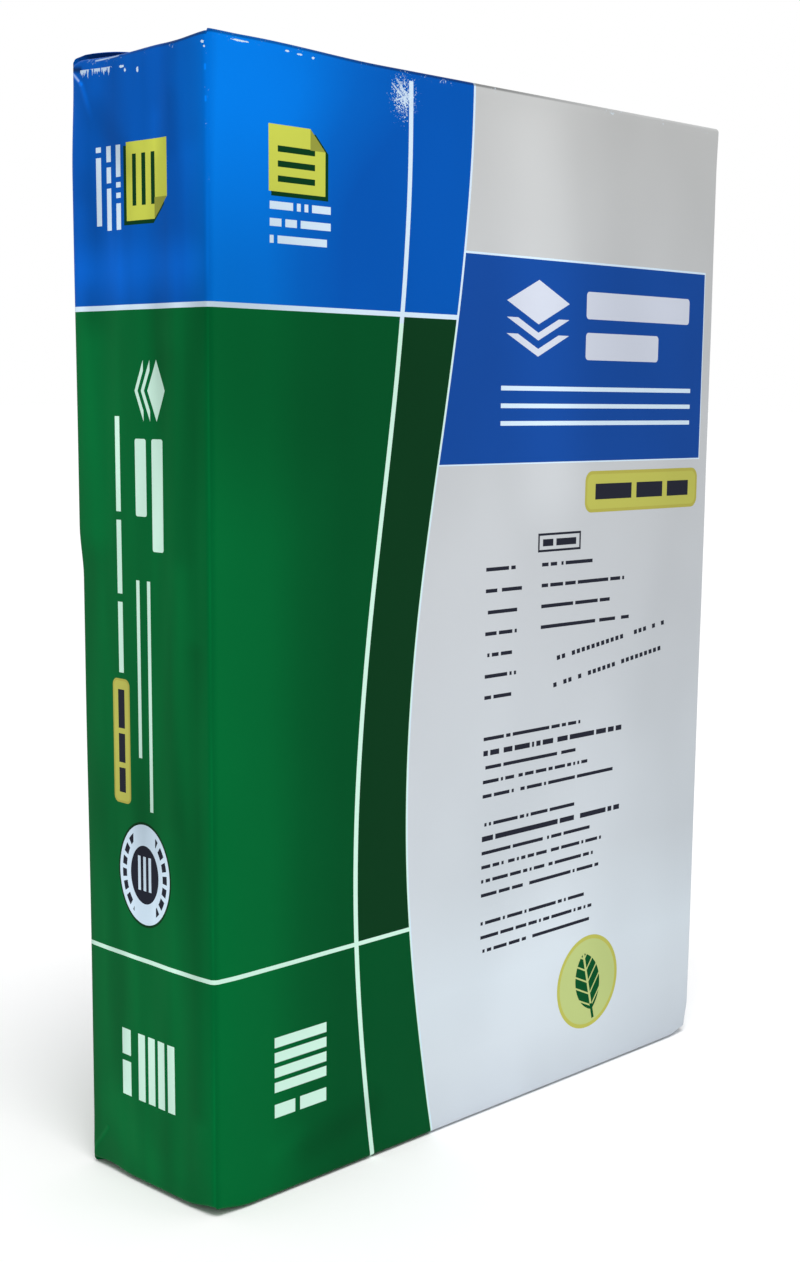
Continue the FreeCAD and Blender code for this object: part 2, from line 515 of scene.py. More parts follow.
def pages(colour, shared, swatch):
    """Yellow pages with one corner turned down, a dark shade and two dark rules."""
    tree = shared.tree
    across, down = FRONT_PAGE
    slant = shared.place.vector("DOT_PRODUCT", (1.0, -1.0, 0.0), output=1)
    shade = shared.box(across - 9.0, down - 7.0, across + 10.4, down + 9.0)
    shape = shared.box(across - 9.8, down - 8.2, across + 9.4, down + 7.9)
    kept = slant.below(across - down + 12.4)
    flap = shared.box(across + 4.2, down - 8.2, across + 9.4, down - 3.0) * kept
    rules = shared.box(across - 6.8, down - 3.2, across + 5.8, down + 5.6)
    spaced = shared.down.scaled(1 / 3.6, (3.2 - down) / 3.6).part().below(0.42)
    rules = rules * spaced * (1.0 - flap)
    colour = tree.mix(shade * slant.below(across - down + 13.0), colour, swatch["dark_green"])
    colour = tree.mix(shape * kept, colour, swatch["yellow"])
    colour = tree.mix(flap, colour, swatch["page_fold"])
    return tree.mix(rules, colour, swatch["dark_green"])


def badges(colour, sheet, on_spine, swatch):
    """Rounded yellow plates with a rim and three dark bars."""
    tree = sheet.tree
    front = tree.turned(sheet.place, (176.5, 113.4), 0.0)
    spine = tree.turned(sheet.place, (-37.2, 176.5), 90.0, 0.58)
    view = Sheet(tree, tree.either(on_spine, front, spine))
    bars = union([view.box(*span) for span in BADGE_BARS])
    colour = tree.mix(view.plate(-29.0, -6.3, 29.0, 6.3, 3.2), colour, swatch["badge_rim"])
    colour = tree.mix(view.plate(-28.0, -5.3, 28.0, 5.3, 2.4), colour, swatch["badge"])
    return tree.mix(bars, colour, swatch["dark"])


BADGE_BARS = ((-24.0, -2.4, -6.0, 2.4), (-3.5, -2.4, 10.0, 2.4), (12.5, -2.4, 24.0, 2.4))


def small_print(sheet):
    """Rows of small dark bars, a small outlined mark and two slanting rows of dashes."""
    outline = sheet.box(126.0, 125.0, 146.0, 130.6) - sheet.box(126.7, 125.7, 145.3, 129.9)
    marks = [
        outline,
        sheet.box(128.2, 126.8, 133.0, 128.9),
        sheet.box(134.4, 126.8, 143.8, 128.9),
        sheet.rows(103.0, 133.8, 7, 6.25, 1.1, 17.0, 5.0, 1.0)[0],
        sheet.rows(128.0, 133.8, 4, 6.25, 1.1, 44.0, 12.0, 1.0)[0],
    ]
    block, row = sheet.rows(103.0, 183.6, 16, 4.3, 1.05, 68.0, 21.0, 1.0)
    marks.append(block - block * union([row.near(bare, 0.5) for bare in (1.0, 5.0, 7.0, 12.0)]))
    marks.append(sheet.rows(103.0, 187.6, 2, 25.8, 1.6, 66.0, 33.0, 1.0, 1.0)[0])
    slanted = sheet.turned((131.0, 163.0), -7.0)
    dashes = slanted.across.scaled(1 / 2.4, 0.0).part().below(0.66)
    marks.append(slanted.rows(0.0, 0.0, 2, 8.0, 1.4, 66.0, 93.0, 2.4)[0] * dashes)
    return union(marks)


def leaf_mark(colour, view, swatch):
    """A round plate with a leaf of two arcs and its veins."""
    tree = view.tree
    leaf = view.oval(-5.5, 0.0, 11.5, 11.5) * view.oval(5.5, 0.0, 11.5, 11.5)
    vein = (abs(view.across) * 0.8 + view.down).maths("MULTIPLY", 1 / 4.2).part().below(0.16)
    leaf = leaf - leaf * vein.most(view.across.near(0.0, 0.45))
    stem = view.box(-0.6, 8.0, 0.6, 13.2)
    colour = tree.mix(view.oval(0.0, 0.0, 15.3, 15.3), colour, swatch["badge"])
    colour = tree.mix(view.oval(0.0, 0.0, 14.0, 14.0), colour, swatch["leaf_plate"])
    return tree.mix(leaf.most(stem), colour, swatch["deep_green"])


def oval_mark(colour, view, swatch):
    """A white oval plate with a dark rim, dashes round its sides and a dark middle with bars."""
    tree = view.tree
    middle = view.oval(0.0, 0.0, 5.9, 8.0)
    bars = view.box(-2.9, -5.0, 2.9, 4.4) * view.across.scaled(1 / 2.2, 0.27).part().below(0.5)
    ring = view.oval(0.0, 0.0, 9.5, 12.3) - view.oval(0.0, 0.0, 7.7, 10.4)
    dashes = view.across.maths("ARCTAN2", view.down).scaled(2.6, 0.2).part().below(0.66)
    dashes = ring * dashes * abs(view.across).above(4.6)
    colour = tree.mix(view.oval(0.0, 0.0, 11.3, 14.4), colour, swatch["dark_green"])
    colour = tree.mix(view.oval(0.0, 0.0, 10.7, 13.7), colour, swatch["white"])
    return tree.mix(dashes.most(middle - bars), colour, swatch["dark"])


def printed(sheet, swatch):
    """The wrapper's print, field by field and mark by mark."""
    on_spine = sheet.across.below(0.0)
    shared = both_faces(sheet, on_spine)
    spine = sheet.turned((0.0, 0.0), 90.0)
    colour, lines, ink_white = fields(sheet, swatch)
    small_head = quarter_turned(sheet, SPINE_HEAD, FRONT_HEAD, SPINE_HEAD_SCALE)
    head = Sheet(sheet.tree, sheet.tree.either(on_spine, sheet.place, small_head))
    white = lines.most(white_marks(sheet, shared, spine, head))
    colour = sheet.tree.mix(white, colour, ink_white)
    colour = pages(colour, shared, swatch)
    colour = badges(colour, sheet, on_spine, swatch)
    colour = sheet.tree.mix(small_print(sheet), colour, swatch["dark"])
    colour = leaf_mark(colour, sheet.turned((155.0, 269.5), -14.0), swatch)
    return oval_mark(colour, sheet.turned((-28.2, 211.6), 0.0), swatch), ink_white


def wear_and_painted_highlights(sheet, solid):
    """Where the print is rubbed through, with painted highlights under the ear and at a crease's end,
    and the long soft noise that breaks up the creases.
    """
    tree = sheet.tree
    speck = tree.grain(solid, 1700.0, 3.0, 0.65)
    patch = tree.grain(solid, 150.0)
    on_rim = abs(sheet.down - 0.8).fade(1.7, 0.2)
    on_edge = abs(sheet.across).fade(1.2, 0.2) * sheet.down.fade(45.0, 8.0)
    chance = speck.scaled(0.6, 0.0) + patch * 0.5
    worn = (chance - 0.68).scaled(20.0, 0.0).maths("MINIMUM", 1.0) * on_rim.most(on_edge)

    # Rubbed line with a painted highlight under the lifted ear, and a painted highlight at the light
    # end of the crease below it
    along = tree.grain(sheet.place.vector("MULTIPLY", (0.09, 0.035, 0.0)), 1.0, 2.0)
    under_ear_rub_and_highlight = sheet.line((11.0 - SPINE, 0.7), (20.0 - SPINE, 0.1), 0.5) * along.scaled(1.6, -0.1)
    crease_end_highlight = sheet.line((1.2 - SPINE, 3.2), (3.8 - SPINE, 5.6), 0.6) * 0.55

    # Ragged row under the spine's top rim, and the specks beside it
    teeth = tree.grain(sheet.place.vector("MULTIPLY", (1.5, 0.22, 0.0)), 1.0, 2.0, 0.6)
    fringe = (sheet.down - 2.6).scaled(0.12, 0.0)
    row = sheet.box(4.5 - SPINE, 2.8, 17.5 - SPINE, 6.4) * (teeth - fringe).above(0.36) * 0.85
    reach = [sheet.scaled(*place).length() for place in SPECKS]
    near = reach[0]
    for other in reach[1:]:
        near = near.maths("MINIMUM", other)
    specks = (near + speck * 1.6).below(1.5)

    # Scuff on the upper field: a cluster of fine specks with short scratches through it
    dust = tree.grain(solid, 2600.0, 2.0, 0.6)
    spray = (sheet.scaled(67.4, 7.4, 4.0, 5.2).length() + dust * 5.0).below(2.95)
    scratches = [sheet.line(*ends, 0.4) for ends in SCRATCHES]
    marks = [row, specks, spray, union(scratches) * dust.above(0.46), under_ear_rub_and_highlight, crease_end_highlight]
    return worn.most(union(marks)), along


# Specks: middle across and down, and half their width and height
SPECKS = (
    (-33.0, 3.4, 1.3, 0.5),
    (-31.6, 4.6, 0.5, 0.7),
    (-26.6, 5.3, 0.8, 0.8),
    (-1.5, 2.6, 1.0, 0.5),
    (-0.9, 3.7, 0.6, 0.4),
    (10.5, 1.7, 4.0, 0.3),
    (25.8, 1.9, 0.9, 0.35),
    (30.0, 2.1, 1.5, 0.3),
    (34.5, 2.2, 0.8, 0.4),
)

# Both ends of each scratch through the scuff
SCRATCHES = (
    ((62.8, 4.2), (68.5, 8.8)),
    ((64.6, 3.0), (69.5, 8.2)),
    ((63.6, 8.8), (69.5, 6.8)),
)


def creases(sheet, along):
    """Sharp folds that show: each with the height it stands up and the painted highlight along it."""
    for start, end, width, height, light in (
        ((1.0 - SPINE, 3.2), (5.0 - SPINE, 6.8), 1.0, 0.22, 1.6),
        ((5.0 - SPINE, 6.8), (10.0 - SPINE, 18.0), 1.5, 0.14, 0.9),
        ((0.6 - SPINE, 298.0), (8.0 - SPINE, 288.0), 1.2, 0.2, 0.5),
    ):
        mask = sheet.line(start, end, width) * sheet.down.fade(18.5, 8.0).most(sheet.down.above(280.0))
        yield mask * height, mask * light

    # The fold down the front's edge, with a painted highlight along it and two painted glints near its
    # top
    mask = abs(sheet.across + 0.3).fade(0.9, 0.1) * along.scaled(0.8, -0.15)
    points = sheet.line((-0.6, 8.1), (-0.6, 8.9), 0.7).most(sheet.line((-0.5, 15.3), (-0.5, 16.0), 0.7))
    yield mask * 0.02, mask.most(points * 1.3)


# Mirror share of the film, and how strongly the painted highlights of the creases and the painted shade
# of the tuck and the top rim change its light
FILM_GLOSS = 0.018
CREASE_PAINTED_HIGHLIGHT = 0.45
TUCK_PAINTED_SHADE = 0.7
RIM_PAINTED_SHADE = 0.6


def wrapper_finish(inks):
    """Printed paper under a glossy film, its colour multiplied by painted light and shade."""
    material = bpy.data.materials.new("printed_wrapper")
    tree = Tree(material)
    swatch = {name: linear(getattr(inks, name)) for name in inks.__annotations__}
    sheet = wrapper_place(tree)
    solid = tree.add("ShaderNodeTexCoord", None, output="Object")
    worn, along = wear_and_painted_highlights(sheet, solid)
    height = tree.grain(solid, 1500.0) * 0.010 + tree.grain(solid, 120.0, 3.0, 0.45) * 0.05
    height = height - worn * 0.05

    # Painted light and shade of the waves, read from the mesh; the creases stand out in the bump and
    # get painted highlights
    painted_shading = tree.add("ShaderNodeAttribute", {"attribute_name": "painted_shading"}, output=2)
    for rise, glint in creases(sheet, along):
        height = height + rise
        painted_shading = painted_shading + glint * CREASE_PAINTED_HIGHLIGHT
    # Painted shade in the tuck under the lifted ear
    painted_shading = painted_shading - sheet.line((0.6 - SPINE, 1.7), (4.4 - SPINE, 2.6), 1.5) * TUCK_PAINTED_SHADE
    # Painted shade along the top rim, where it turns away from the light
    top_rim_painted_shade = abs(sheet.down + 0.1).fade(1.3, 0.6) * abs(sheet.across - 52.0).fade(118.0, 50.0)
    painted_shading = painted_shading - top_rim_painted_shade * RIM_PAINTED_SHADE
    # The painted light and shade, multiplied into the printed colour
    shade = tree.add("ShaderNodeCombineColor", None, [painted_shading] * 3)
    ink, bare = printed(sheet, swatch)
    colour = tree.mix(1.0, ink, shade, "MULTIPLY")
    # Pale ink where the print is rubbed through, and the painted highlights under the ear and at the
    # crease's end
    colour = tree.mix(worn * 0.9, colour, bare)
    rough = tree.grain(solid, 60.0, 3.0, 0.55).scaled(0.14, 0.27) + worn * 0.35
    bump = {"Strength": 0.55, "Distance": MM, "Height": height}
    surface = tree.add(
        "ShaderNodeBsdfPrincipled",
        None,
        {
            "Base Color": colour,
            "Roughness": rough,
            "Specular IOR Level": FILM_GLOSS,
            "Normal": tree.add("ShaderNodeBump", None, bump),
        },
    )
    tree.add("ShaderNodeOutputMaterial", None, {"Surface": surface})
    return material


def cut(bm, faces, place, normal):
    """Cuts the given faces, or the whole mesh, along a plane."""
    if faces is None:
        geometry = [*bm.verts, *bm.edges, *bm.faces]
    else:
        edges = {edge for face in faces for edge in face.edges}
        verts = {vert for face in faces for vert in face.verts}
        geometry = [*verts, *edges, *faces]
    bmesh.ops.bisect_plane(bm, geom=geometry, dist=1e-7, plane_co=place, plane_no=normal)


def end_faces(bm, top, radius):
    """Faces of one end and its rounded rim."""
    reach = 1.9 * radius
    return [f for f in bm.faces if all((HEIGHT - v.co.z if top else v.co.z) < reach for v in f.verts)]


def rounded_block(sizes):
    """The pack as an even block with round edges."""
    bm = bmesh.new()
    bmesh.ops.create_cube(bm, size=1.0)
    bmesh.ops.scale(bm, vec=(WIDTH, DEPTH, HEIGHT), verts=bm.verts)
    middle = Vector(((LEFT + RIGHT) / 2, (FRONT + BACK) / 2, HEIGHT / 2))
    bmesh.ops.translate(bm, vec=middle, verts=bm.verts)
    upright = [e for e in bm.edges if abs(e.verts[0].co.z - e.verts[1].co.z) > HEIGHT / 2]
    rounding = {"offset_type": "OFFSET", "profile": 0.5, "affect": "EDGES", "material": -1}
    bmesh.ops.bevel(bm, geom=upright, offset=sizes.long_radius, segments=7, **rounding)
    rims = [
        edge
        for edge in bm.edges
        if all(v.co.z > HEIGHT - MM for v in edge.verts) or all(v.co.z < MM for v in edge.verts)
    ]
    bmesh.ops.bevel(bm, geom=rims, offset=sizes.end_radius, segments=6, **rounding)
    return bm


# Offsets across a slanted fold: the rows that become the upper edge, its lip, the pocket and the foot
FOLD_ROWS = (0.15 * MM, 0.05 * MM, -0.05 * MM, -0.15 * MM)
FREE_EDGE_ROWS = (0.04 * MM, -0.04 * MM)


def cut_folds(bm, sizes):
    """Cuts both ends along their slanted folds and free edges, and the back along the lap seam."""
    for top in (True, False):
        for side in (-1, 1):
            for face_side in (-1, 1):
                corner = Vector((side * WIDTH / 2, (BACK if face_side > 0 else FRONT), 0.0))
                normal = Vector((-side, face_side, 0.0))
                for offset in FOLD_ROWS:
                    place = corner + Vector((-side * offset, 0.0, 0.0))
                    faces = end_faces(bm, top, sizes.end_radius)
                    near = [face for face in faces if beside_fold(face, corner, sizes)]
                    cut(bm, near, place, normal)
        for edge in (BACK - sizes.flap_reach, FRONT + sizes.flap_reach):
            for offset in FREE_EDGE_ROWS:
                faces = end_faces(bm, top, sizes.end_radius)
                cut(bm, faces, Vector((0.0, edge + offset, 0.0)), Vector((0.0, 1.0, 0.0)))
    for offset in FREE_EDGE_ROWS:
        back = [face for face in bm.faces if all(v.co.y > 0 for v in face.verts)]
        cut(bm, back, Vector((sizes.seam_place + offset, 0.0, 0.0)), Vector((1.0, 0.0, 0.0)))


def beside_fold(face, corner, sizes):
    """True for an end face that reaches within a flap of the fold's corner."""
    return any(abs(v.co.x - corner.x) < sizes.flap_reach * 1.2 for v in face.verts)


def cut_grid(bm, sizes):
    """Divides the whole block into small squares, set off so that none falls on a fold."""
    across = round(WIDTH / sizes.mesh_pitch)
    deep = round(DEPTH / sizes.mesh_pitch)
    high = round(HEIGHT / sizes.mesh_pitch)
    for step in range(across - 2):
        cut(bm, None, Vector((LEFT + (step + 1.5) * WIDTH / across, 0, 0)), Vector((1, 0, 0)))
    for step in range(2, deep - 1):
        cut(bm, None, Vector((0, BACK - step * DEPTH / deep, 0)), Vector((0, 1, 0)))
    for step in range(2, high - 1):
        cut(bm, None, Vector((0, 0, step * HEIGHT / high)), Vector((0, 0, 1)))


def ease(share):
    """A smooth rise from 0 to 1."""
    share = min(max(share, 0.0), 1.0)
    return share * share * (3 - 2 * share)


def fold_margins(place, sizes, from_front):
    """How far a point lies inside a flap's two slanted edges and its free edge."""
    depth = place.y - FRONT if from_front else BACK - place.y
    return place.x - LEFT - depth, RIGHT - place.x - depth, sizes.flap_reach - depth


FLAP_STEP = 0.3 * MM


def cover(margins):
    """1 inside a flap, 0 outside it, with a steep step between."""
    return min(max(0.5 + min(margins) / FLAP_STEP, 0.0), 1.0)


def ear_lift(depth, sizes):
    """Rise of the lifted fold at a distance in from the back."""
    share = depth / sizes.ear_reach
    if not 0.0 < share < 1.0:
        return 0.0
    return math.sin(HALF_TURN * share**1.1)


# End folds: how far down the sides they show, the puff of the top flap and the swell of its fold
RELIEF_REACH = 12 * MM
PUFF_STAND = 0.35 * MM
PUFF_REACH = 14 * MM
SWELL_STAND = 0.18 * MM

# The lifted fold: the sink and reach of its lip, and the depth of its pocket and the painted shade
# inside it
LIP_SINK = 0.3 * MM
LIP_REACH = 0.2 * MM
POCKET_SHARE = 0.55
POCKET_LAYERS = 1.7
POCKET_PAINTED_SHADE = 0.72


def fold_ends(vert, place, sizes, painted_shading):
    """Sinks the inner layers of the end folds, and lifts the ear off them, with painted shade inside.
    """
    top = place.z > HEIGHT / 2
    from_end = HEIGHT - place.z if top else place.z
    fade = ease(1 - (from_end - sizes.end_radius) / RELIEF_REACH)
    if fade == 0.0:
        return
    outer = fold_margins(place, sizes, False)
    inner = fold_margins(place, sizes, True)
    over = cover(outer)
    drop = sizes.fold_step * (1 - over) * (2 - cover(inner))
    puff = 0.0
    if from_end < 0.2 * MM and top:
        puff = PUFF_STAND * ease(min(outer) / PUFF_REACH) * over
    swell = SWELL_STAND * math.exp(-(((min(outer[:2]) / MM) - 0.9) ** 2) / 0.8) * over
    inward = Vector((0.0, 0.0, -1.0 if top else 1.0))
    vert.co += inward * ((drop - swell * top) * fade - puff)
    if not top:
        return
    depth = BACK - place.y
    lift = ear_lift(depth, sizes)
    run = sizes.ear_run * lift
    beyond = outer[0]
    if lift == 0.0 or beyond < -0.2 * MM or beyond > run:
        return
    stand = EAR_STAND * lift

    # The rows of FOLD_ROWS in turn: the outer flap's upper edge and beyond, its lip, and the pocket
    if beyond > 0.1 * MM:
        vert.co.z += stand * (1 - beyond / run) ** 1.15
        return
    if beyond > 0.0:
        vert.co.z += stand + drop * fade - LIP_SINK * lift
        vert.co.x -= LIP_REACH * lift
    elif beyond > -0.1 * MM:
        vert.co.x += run * POCKET_SHARE
        vert.co.z = place.z - sizes.fold_step * POCKET_LAYERS
    # Painted shade on the lip and in the pocket
    if beyond > -0.1 * MM:
        vert[painted_shading] = 1 - POCKET_PAINTED_SHADE * min(1.0, 2.5 * lift)


# Give on the narrow and on the broad sides: reach of the fall in from an edge, length of a ripple
# across and down, its share of the ripple's height, and its layer of the noise
SPINE_GIVE = (16 * MM, 9 * MM, 150 * MM, 1.3, 3.0)
FACE_GIVE = (34 * MM, 46 * MM, 70 * MM, 0.8, 9.0)


def give(vert, place, normal, sizes):
    """Soft pillowing and ripples of the wrapper over the stack, along the surface."""
    flat = max(abs(normal.x), abs(normal.y))
    if flat < 0.5:
        return
    if abs(normal.x) > abs(normal.y):
        along, side = place.y, place.x
        to_edge = min(along - FRONT, BACK - along)
        reach, wide, high, strength, layer = SPINE_GIVE
    else:
        along, side = place.x, place.y
        to_edge = min(along - LEFT, RIGHT - along)
        reach, wide, high, strength, layer = FACE_GIVE
    sample = Vector((along / wide, place.z / high, layer * math.copysign(1, side)))
    fall = sizes.pillow * (1 - min(to_edge / reach, 1.0)) ** 2
    ends = ease(min(place.z, HEIGHT - place.z) / (14 * MM))
    wave = noise.noise(sample) * sizes.ripple * strength * ends
    wave += noise.noise(sample * 3.1) * sizes.ripple * 0.25 * ends
    vert.co += normal * (wave - fall * (0.35 + 0.65 * ends))


# Width over which the seam's inner layer lifts the outer one
LAP_RAMP = 6 * MM


def lap(vert, place, normal, sizes):
    """Raises the outer layer of the lap seam down the back and over the top outer flap."""
    if place.y < 0 or normal.y < 0.05 and place.z < HEIGHT - MM:
        return
    inside = sizes.seam_place - place.x
    if inside < 0 or inside > sizes.seam_overlap + LAP_RAMP:
        return
    ramp = min(1.0, (sizes.seam_overlap + LAP_RAMP - inside) / LAP_RAMP)
    on_flap = cover(fold_margins(place, sizes, False))
    foot = ease(place.z / (10 * MM))
    vert.co += normal * SEAM_STAND * ramp * on_flap * foot


# Knocks: where the pack was pushed in or drawn out, how far that reaches, and the push
KNOCKS = (
    ((LEFT, BACK - 8 * MM, 0.0), (11, 11, 11), (0.3, 0.0, 0.7)),
    ((LEFT, BACK, HEIGHT), (5, 5, 5), (0.0, 0.0, -0.9)),
    ((LEFT, BACK - 18 * MM, HEIGHT), (20, 20, 14), (0.2, 0.0, -0.6)),
    ((LEFT, FRONT, HEIGHT), (12, 12, 14), (-0.1, -0.1, 0.3)),
    ((LEFT + 16 * MM, FRONT, HEIGHT), (44, 18, 18), (0.0, -0.1, 1.0)),
    ((LEFT, FRONT, 0.0), (13, 13, 11), (0.5, 0.5, 1.6)),
    ((LEFT, FRONT, 66 * MM), (9, 9, 75), (0.5, 0.5, 0.0)),
    ((LEFT, BACK, 66 * MM), (8, 8, 75), (0.1, -0.1, 0.0)),
    ((RIGHT, FRONT, 0.0), (12, 12, 12), (-1.2, 0.4, 1.3)),
)

# Slack in the wrapper along the back edge by the spine: from here up it stands out
SLACK_FROM = 166 * MM
SLACK_STAND = 0.9 * MM
SLACK_REACH = 16 * MM
SLACK_START = 14 * MM
SLACK_END = 30 * MM


def knock(vert, place):
    """Pushes in the corners that were bumped, and swells the slack part of the back edge."""
    for middle, reach, push in KNOCKS:
        away = [(a - b) / (r * MM) for a, b, r in zip(place, middle, reach)]
        vert.co += Vector(push) * MM * ease(1 - Vector(away).length)
    beside = math.hypot(place.x - LEFT, place.y - BACK)
    near = ease(1 - beside / SLACK_REACH) * ease((place.z - SLACK_FROM) / SLACK_START)
    near *= ease((HEIGHT - place.z) / SLACK_END)
    vert.co += Vector((-0.7, 0.7, 0.0)) * SLACK_STAND * near


# Painted light and shade of soft waves, across and down on the flat wrapper: the ends, the reach and
# the light
PAINTED_WAVE_LIGHT = (
    ((-43.5, 15.0), (-31.0, 29.0), 7.0, -0.2),
    ((-52.0, 14.0), (-49.0, 26.0), 5.0, 0.08),
    ((-19.8, 18.0), (-20.5, 25.0), 4.0, 0.14),
    ((-13.0, 14.0), (-13.5, 26.0), 4.0, -0.1),
    ((-50.0, 40.0), (-48.0, 54.0), 6.0, 0.14),
    ((-38.0, 46.0), (-35.0, 60.0), 5.0, 0.1),
    ((-46.0, 74.0), (-47.0, 120.0), 10.0, 0.26),
    ((-16.0, 78.0), (-12.0, 124.0), 8.0, -0.16),
    ((-7.0, 150.0), (-6.5, 272.0), 5.0, -0.2),
    ((-16.0, 200.0), (-15.0, 290.0), 6.0, 0.08),
    ((-42.0, 280.0), (-28.0, 294.0), 12.0, 0.2),
    ((34.0, 290.0), (58.0, 284.0), 8.0, -0.14),
    ((22.0, 288.0), (30.0, 284.0), 5.0, 0.1),
    ((8.0, 60.0), (12.0, 84.0), 45.0, -0.27),
    ((-50.0, 54.0), (-8.0, 54.0), 10.0, 0.3),
    ((-48.0, 196.0), (-16.0, 200.0), 26.0, -0.12),
    ((4.0, 10.0), (32.0, 12.0), 18.0, 0.04),
    ((118.0, 12.0), (132.0, 108.0), 24.0, 0.12),
    ((-6.0, 1.0), (-6.0, 22.0), 7.0, -0.14),
)


def streak(point, start, end, reach):
    """1 on a line between two points of the flat wrapper, easing to 0 at its reach."""
    start, run = Vector(start), Vector(end) - Vector(start)
    share = min(max((point - start).dot(run) / run.length_squared, 0.0), 1.0)
    return ease(1 - (point - start - run * share).length / reach)


# Painted sheen streaks on the spine, the far side and the broad sides: strength, length across and
# down in millimetres, and layer of the noise
SPINE_PAINTED_SHEEN = (0.22, 8, 70, 3.0)
FAR_PAINTED_SHEEN = (0.07, 8, 70, 3.0)
FACE_PAINTED_SHEEN = (0.06, 40, 60, 9.0)

# Painted shade: darkening of the front away from the spine and, over a shorter way, at its top; and of
# the back edge
FRONT_PAINTED_SHADE = 0.14
DARK_FROM = 130
DARK_WAY = 82
TOP_DARK_WAY = 38
BACK_EDGE_PAINTED_SHADE = 0.4
EDGE_WAY = 2.6 * MM


def painted_shading_at(place, normal):
    """Painted light and shade of the film at a point: painted sheen of soft waves, most of all on the
    narrow sides.
    """
    down = (HEIGHT - place.z) / MM
    if abs(normal.x) > abs(normal.y):
        point, side = Vector(((FRONT - place.y) / MM, down)), place.x
        strength, wide, high, layer = SPINE_PAINTED_SHEEN if normal.x < 0 else FAR_PAINTED_SHEEN
    else:
        point, side = Vector(((place.x - LEFT) / MM, down)), place.y
        strength, wide, high, layer = FACE_PAINTED_SHEEN
    sample = Vector((point.x / wide, down / high, layer * math.copysign(1, side)))
    painted_shading = 1 + strength * (noise.noise(sample) + 0.4 * noise.noise(sample * 2.7))
    # Painted shade on the front, darker away from the spine
    if normal.y < -0.5:
        shorter = (DARK_WAY - TOP_DARK_WAY) * ease((120 - down) / 60)
        painted_shading -= FRONT_PAINTED_SHADE * ease((point.x - DARK_FROM) / (DARK_WAY - shorter))
    # Painted shade along the back edge by the spine
    painted_shading -= BACK_EDGE_PAINTED_SHADE * ease(1 - math.hypot(place.x - LEFT, place.y - BACK) / EDGE_WAY)
    # Painted light and shade of the listed waves, on the spine and the front
    if place.x < LEFT + 3 * MM or place.y < FRONT + 3 * MM:
        painted_shading += sum(light * streak(point, *ends, reach) for *ends, reach, light in PAINTED_WAVE_LIGHT)
    return painted_shading


def corner_run(along, depth, radius):
    """Distance along a face, carried evenly round the long edge that it shares."""
    if along >= radius or depth >= radius:
        return along
    angle = math.atan2(radius - along, max(radius - depth, 1e-9))
    return radius - angle / (HALF_TURN / 2) * 2 * radius


def face_run(along, whole, depth, radius):
    """Distance along a face with both of its long edges."""
    along = corner_run(along, depth, radius)
    return whole - corner_run(whole - along, depth, radius)


def sheet_place(place, face_middle, face_normal, sizes):
    """Where a corner of a face lies on the flat wrapper, across and up, in metres."""
    over = min(fold_margins(face_middle, sizes, False)) > 0
    under = min(fold_margins(face_middle, sizes, True)) > 0
    on_end = face_middle.z > HEIGHT - sizes.end_radius or face_middle.z < sizes.end_radius
    if on_end:
        side = "back" if over else "front" if under else "tuck"
    elif abs(face_normal.x) > abs(face_normal.y):
        side = "tuck"
    else:
        side = "back" if face_normal.y > 0 else "front"
    if side == "tuck":
        depth = min(place.x - LEFT, RIGHT - place.x)
        along = face_run(place.y - FRONT, DEPTH, depth, sizes.long_radius)
        across = -along if face_middle.x < 0 else WIDTH + along
    else:
        depth = place.y - FRONT if side == "front" else BACK - place.y
        along = face_run(place.x - LEFT, WIDTH, depth, sizes.long_radius)
        across = along
        if side == "back":
            left_part = face_middle.x < sizes.seam_place
            across = -DEPTH - along if left_part else 2 * WIDTH + DEPTH - along
    radius = sizes.end_radius
    up = min(place.z, HEIGHT - place.z)
    if up < radius:
        up = corner_run(up, depth, radius) if depth < radius else -depth
    return across, (up if place.z < HEIGHT / 2 else HEIGHT - up)


def lay_out_sheet(bm, sizes):
    """Gives each face its place on the flat wrapper, so that the print runs on round every fold."""
    bm.normal_update()
    flat = bm.loops.layers.uv.new("sheet")
    for face in bm.faces:
        middle = face.calc_center_median()
        for loop in face.loops:
            loop[flat].uv = sheet_place(loop.vert.co, middle, face.normal, sizes)


def settle(bm, sizes):
    """Turns the even block into a wrapper with folds, give and knocks, and stores each point's painted
    light and shade.
    """
    bm.normal_update()
    # A layer of painted light and shade on the mesh, which the wrapper's colour is multiplied by
    painted_shading = bm.verts.layers.float.new("painted_shading")
    rest = [(vert, vert.co.copy(), vert.normal.copy()) for vert in bm.verts]
    for vert, place, normal in rest:
        vert[painted_shading] = painted_shading_at(place, normal)
        give(vert, place, normal, sizes)
        lap(vert, place, normal, sizes)
        fold_ends(vert, place, sizes, painted_shading)
        knock(vert, place)


def hand_over(bm, name, scene):
    """Turns a finished mesh into an object of the scene."""
    mesh = bpy.data.meshes.new(name)
    bm.to_mesh(mesh)
    bm.free()
    thing = bpy.data.objects.new(name, mesh)
    scene.collection.objects.link(thing)
    return thing


class REAM_OT_wrapper(bpy.types.Operator):
    """Makes the folded and printed wrapper round the stack"""

    bl_idname = "ream.wrapper"
    bl_label = "Make wrapper"

    def execute(self, context):
        sizes = context.scene.wrapper_sizes
        bm = rounded_block(sizes)
        cut_folds(bm, sizes)
        cut_grid(bm, sizes)
        bmesh.ops.remove_doubles(bm, verts=bm.verts, dist=1e-6)
        lay_out_sheet(bm, sizes)
        settle(bm, sizes)
        wrapper = hand_over(bm, "paper_wrapper", context.scene)
        wrapper.data.shade_smooth()
        wrapper.data.materials.append(wrapper_finish(context.scene.wrapper_inks))
        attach(wrapper, "root")
        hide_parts(NODE)
        return {"FINISHED"}


